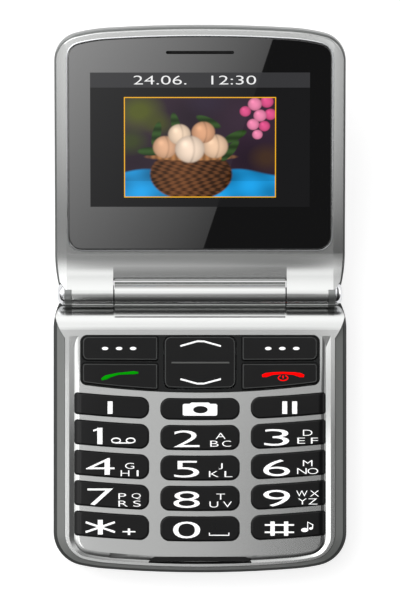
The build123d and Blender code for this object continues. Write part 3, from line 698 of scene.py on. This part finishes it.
class PHONE_OT_function_prints(bpy.types.Operator):
    """Print the marks on the function keys, the call keys and the rocker, and paint a highlight round the
    top of the soft, call and end keys and the rocker
    """
    bl_idname = "phone.function_prints"
    bl_label = "Function Prints"

    def execute(self, context):
        white, green, red = (finishes[name] for name in ("white", "green", "red"))
        prints = {
            "soft_key_left": ([disc((x, 0.0), 1.5, 0.75) for x in (-3.5, -0.25, 3.0)], white),
            "soft_key_right": ([disc((x, 0.0), 1.5, 0.75) for x in (-2.7, 0.55, 3.8)], white),
            "memory_key_1": ([plate(-0.95, 0.2, -1.95, 0.95, 0, PRINT_THICK)], white),
            "memory_key_2": ([plate(x, x + 1.15, -1.95, 0.95, 0, PRINT_THICK) for x in (-1.4, 0.9)], white),
            "camera_key": ([camera_mark()], white),
            "call_key": ([handset(
                [(-4.3, -0.7), (-3.3, -0.25), (-2.2, 0.15), (-0.4, 0.6), (1.6, 0.75), (3.1, 0.85),
                 (4.2, 0.85)],
                [0.5, 1.0, 0.7, 0.5, 0.6, 0.75, 0.4])], green),
            "end_key": ([handset(
                [(-4.1, 0.1), (-3.2, 0.3), (-1.6, 0.66), (0.75, 0.8), (3.1, 0.66), (4.7, 0.3), (5.6, 0.1)],
                [0.6, 1.0, 0.62, 0.5, 0.62, 1.0, 0.6]),
                stroke(arc((0.75, -0.35), (1.1, 0.6), 120, 420, 20), 0.26),
                stroke([(0.75, 0.2), (0.75, -0.45)], 0.3)], red),
            "nav_rocker": ([stroke([(-4.55, y), (-0.7, y + rise), (0.9, y + rise), (4.85, y)], 0.42)
                            for y, rise in ((3.8, 1.1), (-3.85, -1.05))], white),
        }
        for key, (marks, material) in prints.items():
            place, _ = key_place(key)
            add_piece(f"{key}_print", join(marks), place, key, material)
        place, _ = key_place("nav_rocker")
        add_piece("nav_rocker_line", stroke([(-6.6, -0.05), (6.8, -0.05)], 0.42), place, "nav_rocker",
                  surfaced("grey_key_line", "#4F504E", 0.5, grain=(0.3, 0.001)))
        # the light grey line round each of these keys' tops is a painted highlight on its rounded edge
        line = surfaced("painted_edge_highlight", "#343635", 0.5, grain=(0.3, 0.001))
        for key in ("soft_key_left", "soft_key_right", "call_key", "end_key", "nav_rocker"):
            add_piece(f"{key}_edge", top_ring(key, EDGE_HIGHLIGHT), IN_PLACE, key, line)
        return {"FINISHED"}


class PHONE_OT_window(bpy.types.Operator):
    """Finish the display window, line its edge and light the screen in its face"""
    bl_idname = "phone.window"
    bl_label = "Window and Screen"

    def execute(self, context):
        dress(window_print(), "display_window")
        # the lip's grey is a painted highlight along the window's lower edge
        lines = ("window_bead", True, 12.0, finishes["trim"]), ("window_lip", False, 4.0, lower_edge_highlight())
        for name, upper, fade, finish in lines:
            way = resampled(window_edge(BEAD_OUT, BEAD_LOW, upper), BEAD_STEP)
            # from its ends, the line swells to its full width over a height of about fade
            swell = [min(1, 0.1 + abs(y - BEAD_LOW) / fade) for _, y in way]
            bead = moved(stroke(way, BEAD_WIDTH, swell=swell, thick=BEAD_THICK), z=RIM_W - BEAD_SINK)
            add_piece(name, bead, ON_LID, "lid", finish)
        x0, x1, y0, y1 = SCREEN
        grounds = ("screen_ground", y0, TITLE_BAR_Y, "display_ground", "#1B1B1C"), (
            "screen_title_bar", TITLE_BAR_Y, y1, "display_title_bar", "#38383A")
        for name, low, high, light, code in grounds:
            film = plate(x0, x1, low, high, WINDOW_W - 0.01, WINDOW_W + 0.006)
            add_piece(name, film, ON_LID, "lid", display_light(light, code))
        title = lettering(TITLE, (TITLE_X, (TITLE_BAR_Y + y1) / 2), TITLE_HEIGHT, stretch=TITLE_STRETCH)
        add_piece("screen_digits", moved(title, z=WINDOW_W), ON_LID, "lid",
                  display_light("display_white", "#F4F4F4"))
        x0, x1, y0, y1 = PICTURE
        wide = PICTURE_FRAME
        bars = [plate(x0, x1, y, y + wide, 0, PRINT_THICK) for y in (y0, y1 - wide)]
        bars += [plate(x, x + wide, y0, y1, 0, PRINT_THICK) for x in (x0, x1 - wide)]
        add_piece("picture_frame_line", moved(join(bars), z=WINDOW_W), ON_LID, "lid",
                  display_light("display_gold", "#F5B428"))
        add_piece("screen_picture", self.picture(), ON_LID, "lid",
                  display_light("display_picture"))
        return {"FINISHED"}

    def picture(self):
        """A fine grid over the picture's place, each corner painted."""
        x0, x1, y0, y1 = PICTURE
        shape = bmesh.new()
        across, up = round((x1 - x0) / PICTURE_CELL), round((y1 - y0) / PICTURE_CELL)
        bmesh.ops.create_grid(shape, x_segments=across, y_segments=up, size=0.5)
        mesh = moved(mesh_from(shape), (x0 + x1) / 2, (y0 + y1) / 2, WINDOW_W + 0.014, x1 - x0, y1 - y0)
        places = np.empty(len(mesh.vertices) * 3)
        mesh.vertices.foreach_get("co", places)
        places = places.reshape(-1, 3)
        colours = np.ones((len(places), 4))
        colours[:, :3] = still_life((places[:, 0] - x0) / 10, (places[:, 1] - y0) / 10)
        layer = mesh.attributes.new("picture", "FLOAT_COLOR", "POINT")
        layer.data.foreach_set("color", colours.astype(np.float32).ravel())
        return mesh


class PHONE_OT_camera(bpy.types.Operator):
    """Ring the camera's window on the lid's outside and show the lens behind it"""
    bl_idname = "phone.camera"
    bl_label = "Camera"

    def execute(self, context):
        middle = (0.0, CAMERA_Y)
        ring = stroke(arc(middle, (CAMERA_RING, CAMERA_RING), 0, 345, 48), CAMERA_RING_WIDTH, closed=True,
                      thick=CAMERA_RING_THICK)
        add_piece("camera_ring", moved(ring, z=LID_BACK_W), ON_LID, "lid",
                  finishes["trim"])
        # black anodised aluminium round the lens: nearly black, a weak sheen
        barrel = surfaced("black_anodised_barrel", "#060607", 0.4, specular=0.3, grain=(0.2, 0.001))
        # the lens's own coating: a dark violet glint
        glint = surfaced("lens_coating", "#3A3550", 0.15, specular=0.6, grain=(0.2, 0.0005))
        discs = ("lens_barrel", 4.4, 0.05, barrel), ("lens_eye", 1.9, 0.04, glint)
        for name, width, rise, finish in discs:
            add_piece(name, moved(disc(middle, width, width), z=LID_BACK_W + rise), ON_LID, "lid",
                      finish)
        return {"FINISHED"}


# Finishes of the inner parts: material, colour, roughness, other settings and the nodes that have it
WORKS_FINISHES = (
    # nickel-plated pressed steel: cool grey with a soft metal shine
    ("nickel_steel", "#A9A8A4", 0.35, {"metallic": 1.0, "grain": (0.2, 0.001)},
     ("display_frame", "dome_sheet", "lid_magnet", "shield_cans", "sim_holder", "usb_socket",
      "vibration_motor")),
    # blackened machined steel: dark, with a dull gleam
    ("blackened_steel", "#4A4A4C", 0.4, {"metallic": 1.0, "grain": (0.15, 0.002)},
     ("base_screws", "hinge_cam_head", "hinge_hollow_pin", "hinge_module", "lid_screws")),
    # black moulded nylon: matt, with a fine grain
    ("black_moulded_nylon", "#1C1C1E", 0.55, {"grain": (0.25, 0.01)},
     ("antenna", "camera_module", "display_gasket", "earpiece_speaker", "hall_sensor", "loudspeaker",
      "microphone")),
    # lacquered circuit board: green, silky, faintly woven
    ("green_circuit_board", "#1F5A38", 0.35, {"grain": (0.4, 0.01)}, ("lid_board", "main_board")),
    # the battery's foil wrap: pale grey, slightly crinkled
    ("battery_wrap", "#C4C6C8", 0.4, {"metallic": 0.6, "grain": (0.5, 0.004)}, ("battery",)),
    # gold plate: warm, bright metal
    ("gold_plate", "#D9A441", 0.25, {"metallic": 1.0, "grain": (0.2, 0.001)}, ("battery_contacts",)),
    # polyimide film: amber, smooth
    ("amber_flex", "#B5762A", 0.35, {"grain": (0.3, 0.002)}, ("display_flex", "hinge_flex")),
    # display glass with its light off: black, smooth
    ("display_glass", "#101214", 0.1, {"grain": (0.5, 0.0002)}, ("display_module",)),
    # moulded silicone: mid grey, dull
    ("silicone_mat", "#8C8E90", 0.6, {"grain": (0.3, 0.004)}, ("keypad_mat",)),
)


class PHONE_OT_works(bpy.types.Operator):
    """Finish the parts inside the phone"""
    bl_idname = "phone.works"
    bl_label = "Inner Parts"

    def execute(self, context):
        for name, code, roughness, settings, nodes in WORKS_FINISHES:
            dress(surfaced(name, code, roughness, **settings), *nodes)
        return {"FINISHED"}


# ---- studio ----
CAMERA_AT = Vector((0.0, 0.0001, 1.9433))  # metres
LENS, SENSOR = 500.0, 36.0            # millimetres
FLOOR_HALF = 8.0          # metres
FLOOR_DROP = 0.02         # millimetres that keep the floor's face off the phone's flat back
FLOOR_GREY = 0.5          # the light that the floor scatters
FLOOR_GLOW = 0.76         # and what it shows on top of that, so that it looks white

# The sky's brightness at angles from straight up, in degrees: towards the phone's top (Y) and its right (X)
SKY = {
    "Y": ((-180, 0.6), (-120, 0.1), (-75, 0.04), (-60, 0.06), (-45, 0.13), (-32, 0.28), (-15, 0.55),
          (0, 1.02), (9, 1.25), (20, 1.75), (33, 2.0), (45, 2.1), (62, 1.1), (82, 0.7), (120, 0.3),
          (180, 0.6)),
    "X": ((-180, 1.0), (-120, 1.0), (-75, 1.3), (-42, 2.8), (-25, 1.9), (-8, 1.1), (8, 0.9),
          (20, 0.5), (36, 0.15), (55, 0.15), (72, 1.3), (88, 3.9), (120, 3.2), (180, 1.0)),
}
SKY_TOP = 4.0             # a ramp can't hold more than 1, so it holds shares of this

# Reflector cards, in metres but for points on the window, and the brightness at their corners
CARD_REACH = 1.3          # from the window to the cards that it mirrors
SLANT = (16.94, 60.75), (0.7, 11.83)  # two points on the window where those cards' shared edge shows
SLANT_RUN_ON = 0.2        # their edge goes on past the points by this share
WINDOW_MIDDLE = 36.0
MIRROR_CARDS = ("bright_card", -0.058, (0.51, 0.21, 0.66, 1.95)), ("black_card", 0.1, (0.03,) * 4)
RIM_CARD_REACH = 0.1      # from the window to the cards that its rim catches
RIM_CARD_WIDTH = 0.03
RIM_CARD_X, RIM_CARD_Y = 31.3, (16.0, 61.6)
RIM_CARD_SIDES = (-1, 0.2, 1.75), (1, 0.4, 1.65)  # side, brightness at the near and at the far end
RIM_CARD_TOP = (1.6, 1.7, 1.4, 1.3)
RIM_CARD_TALL = 0.45      # height of the card beyond the top, as a share of the side cards' length
DECK_CARDS = (
    ("dim_card", (0.02, 0.25, -0.12, -0.02, 0.42), (0.06,) * 4),
    ("left_strip", (-0.042, -0.034, -0.065, -0.016, 0.05), (1.8, 1.8, 3.9, 3.9)),
    ("right_strip", (0.036, 0.045, -0.065, -0.016, 0.05), (0.03,) * 4),
)


def window_point(x, y):
    """A point on the window's face, from its x and y in millimetres as seen from above."""
    tilt = radians(REST_TILT)
    along = (y - HINGE.y / MM + WINDOW_W * sin(tilt)) / cos(tilt)
    return ON_LID @ Vector((x * MM, along * MM, WINDOW_W * MM))


def flat_corners(x0, x1, y0, y1, z):
    """The corners of a level rectangle, in metres."""
    return Vector((x0, y0, z)), Vector((x0, y1, z)), Vector((x1, y1, z)), Vector((x1, y0, z))


class PHONE_OT_studio(bpy.types.Operator):
    """Pale floor, soft lights, reflector cards and the camera"""
    bl_idname = "phone.studio"
    bl_label = "Studio"

    def execute(self, context):
        self.floor()
        self.sky(context.scene)
        self.cards()
        camera = bpy.data.objects.new("camera", bpy.data.cameras.new("camera"))
        camera.data.lens = LENS
        camera.data.sensor_width = SENSOR
        camera.data.clip_start = 0.1
        camera.data.clip_end = 50.0
        camera.location = CAMERA_AT
        context.scene.collection.objects.link(camera)
        context.scene.camera = camera
        context.scene.view_settings.view_transform = "Standard"
        return {"FINISHED"}

    def floor(self):
        """A white floor just below the phone: it shows white, scatters less and keeps the shadow."""
        shape = bmesh.new()
        bmesh.ops.create_grid(shape, x_segments=1, y_segments=1, size=FLOOR_HALF)
        bmesh.ops.translate(shape, verts=shape.verts, vec=(0, 0, -FLOOR_DROP * MM))
        mesh = mesh_from(shape)
        material, tree = new_material("white_studio_floor")
        path = add_node(tree, "ShaderNodeLightPath")
        seen = add_node(tree, "ShaderNodeMath", {0: (path, "Is Camera Ray"), 1: (path, "Is Glossy Ray")},
                        operation="MAXIMUM")
        seen = add_node(tree, "ShaderNodeMath", {0: (seen, "Value"), 1: (path, "Is Transmission Ray")},
                        operation="MAXIMUM")
        lift = add_node(tree, "ShaderNodeMath", {0: (seen, "Value"), 1: FLOOR_GLOW}, operation="MULTIPLY")
        plain = add_node(tree, "ShaderNodeBsdfDiffuse", {"Color": (FLOOR_GREY, FLOOR_GREY, FLOOR_GREY, 1.0)})
        glow = add_node(tree, "ShaderNodeEmission", {"Strength": (lift, "Value")})
        both = add_node(tree, "ShaderNodeAddShader", {0: (plain, "BSDF"), 1: (glow, "Emission")})
        add_node(tree, "ShaderNodeOutputMaterial", {"Surface": (both, "Shader")})
        mesh.materials.append(material)
        floor = bpy.data.objects.new("floor", mesh)
        bpy.context.scene.collection.objects.link(floor)

    def sky(self, scene):
        """Surrounding light: bright behind the phone's top, dim in front and on the right."""
        scene.world = bpy.data.worlds.new("studio")
        scene.world.use_nodes = True
        tree = scene.world.node_tree
        tree.nodes.clear()
        ray = add_node(tree, "ShaderNodeTexCoord")
        parts = add_node(tree, "ShaderNodeSeparateXYZ", {"Vector": (ray, "Generated")})
        level = None
        for axis, stops in SKY.items():
            turn = add_node(tree, "ShaderNodeMath", {0: (parts, axis), 1: (parts, "Z")}, operation="ARCTAN2")
            share = add_node(tree, "ShaderNodeMapRange", {
                "Value": (turn, "Value"), "From Min": -pi, "From Max": pi})
            ramp = fill_ramp(add_node(tree, "ShaderNodeValToRGB", {"Fac": (share, "Result")}), [
                (angle / 360 + 0.5, (*[value / SKY_TOP] * 3, 1.0)) for angle, value in stops])
            raised = add_node(tree, "ShaderNodeMath", {0: (ramp, "Color"), 1: SKY_TOP}, operation="MULTIPLY")
            level = raised if level is None else add_node(
                tree, "ShaderNodeMath", {0: (level, "Value"), 1: (raised, "Value")}, operation="MULTIPLY")
        path = add_node(tree, "ShaderNodeLightPath")
        shown = add_node(tree, "ShaderNodeMix", {
            "Factor": (path, "Is Camera Ray"), 2: (level, "Value"), 3: 1.0}, data_type="FLOAT")
        light = add_node(tree, "ShaderNodeBackground", {"Strength": (shown, 0)})
        add_node(tree, "ShaderNodeOutputWorld", {"Surface": (light, "Background")})

    def cards(self):
        """Reflector cards. Two meet in a slanted edge that the window mirrors; three lie round the window's
        mirror image, so that only the rim about the window catches them; the last three shade the deck
        from bright on its left to dark on its right."""
        self.plane(CARD_REACH)
        top, low = (window_point(*point) for point in SLANT)
        beyond = SLANT_RUN_ON * (top - low)
        far, near = self.mirrored(top + beyond), self.mirrored(low - beyond)
        for name, x, levels in MIRROR_CARDS:
            self.card(name, (far, near, Vector((x, *near.yz)), Vector((x, *far.yz))), levels)
        self.plane(RIM_CARD_REACH)
        outer = []
        for side, dark, bright in RIM_CARD_SIDES:
            near, far = (self.mirrored(window_point(side * RIM_CARD_X, y)) for y in RIM_CARD_Y)
            out = Vector((side * RIM_CARD_WIDTH, 0, 0))
            self.card("rim_card", (near, far, far + out, near + out), (dark, bright, bright, dark))
            outer += [far + out, far + out + RIM_CARD_TALL * (far - near)]
        self.card("rim_card", (outer[0], outer[1], outer[3], outer[2]), RIM_CARD_TOP)
        for name, place, levels in DECK_CARDS:
            self.card(name, flat_corners(*place), levels)

    def plane(self, reach):
        """Set the plane that cards stand in, square to the line the camera sees in the window's middle."""
        middle = window_point(0.0, WINDOW_MIDDLE)
        self.normal = ON_LID.to_3x3() @ Vector((0, 0, 1))
        self.axis = (middle - CAMERA_AT).normalized().reflect(self.normal)
        self.origin = middle + self.axis * reach

    def mirrored(self, point):
        """Where the camera's line to a window point lands on the plane after the window mirrors it."""
        ray = (point - CAMERA_AT).normalized().reflect(self.normal)
        return point + ray * ((self.origin - point).dot(self.axis) / ray.dot(self.axis))

    def card(self, name, corners, levels):
        """A glowing four-sided card with a level at each corner; only reflections show it."""
        shape = bmesh.new()
        bmesh.ops.create_grid(shape, x_segments=6, y_segments=6, size=0.5)
        level = shape.verts.layers.float.new("level")
        for vert in shape.verts:
            u, v = vert.co.x + 0.5, vert.co.y + 0.5
            shares = ((1 - u) * (1 - v), (1 - u) * v, u * v, u * (1 - v))
            vert[level] = sum(share * value for share, value in zip(shares, levels))
            vert.co = sum((share * corner for share, corner in zip(shares, corners)), Vector())
        mesh = mesh_from(shape)
        material, tree = new_material(name)
        shown = add_node(tree, "ShaderNodeAttribute", attribute_name="level")
        light = add_node(tree, "ShaderNodeEmission", {"Strength": (shown, "Fac")})
        add_node(tree, "ShaderNodeOutputMaterial", {"Surface": (light, "Emission")})
        mesh.materials.append(material)
        card = bpy.data.objects.new(name, mesh)
        bpy.context.scene.collection.objects.link(card)
        card.visible_camera = card.visible_diffuse = card.visible_shadow = False


PARTS = (PHONE_OT_casing, PHONE_OT_keys, PHONE_OT_number_prints, PHONE_OT_function_prints, PHONE_OT_window,
         PHONE_OT_camera, PHONE_OT_works, PHONE_OT_studio)


class PHONE_PT_sidebar(bpy.types.Panel):
    """Steps that dress the phone"""
    bl_idname = "PHONE_PT_sidebar"
    bl_label = "Flip Phone"
    bl_space_type = "VIEW_3D"
    bl_region_type = "UI"
    bl_category = "Flip Phone"

    def draw(self, context):
        for group in (context.scene.phone_sizes, context.scene.phone_colours):
            for name in group.bl_rna.properties.keys():
                if name not in ("rna_type", "name"):
                    self.layout.prop(group, name)
        for part in PARTS:
            self.layout.operator(part.bl_idname)


CLASSES = (PhoneSizes, PhoneColours, *PARTS, PHONE_PT_sidebar)


def register():
    for cls in CLASSES:
        bpy.utils.register_class(cls)
    bpy.types.Scene.phone_sizes = PointerProperty(type=PhoneSizes)
    bpy.types.Scene.phone_colours = PointerProperty(type=PhoneColours)


def unregister():
    del bpy.types.Scene.phone_sizes
    del bpy.types.Scene.phone_colours
    for cls in reversed(CLASSES):
        bpy.utils.unregister_class(cls)


def main():
    """Dress the phone, part by part."""
    register()
    finishes["trim"] = polished_trim()
    finishes["white"] = white_print()
    finishes["green"] = colour_print("green_key_print", "#008B00")
    finishes["red"] = colour_print("red_key_print", "#FF0000")
    for part in PARTS:
        group, step = part.bl_idname.split(".")
        getattr(getattr(bpy.ops, group), step)()


if __name__ == "__main__":
    main()
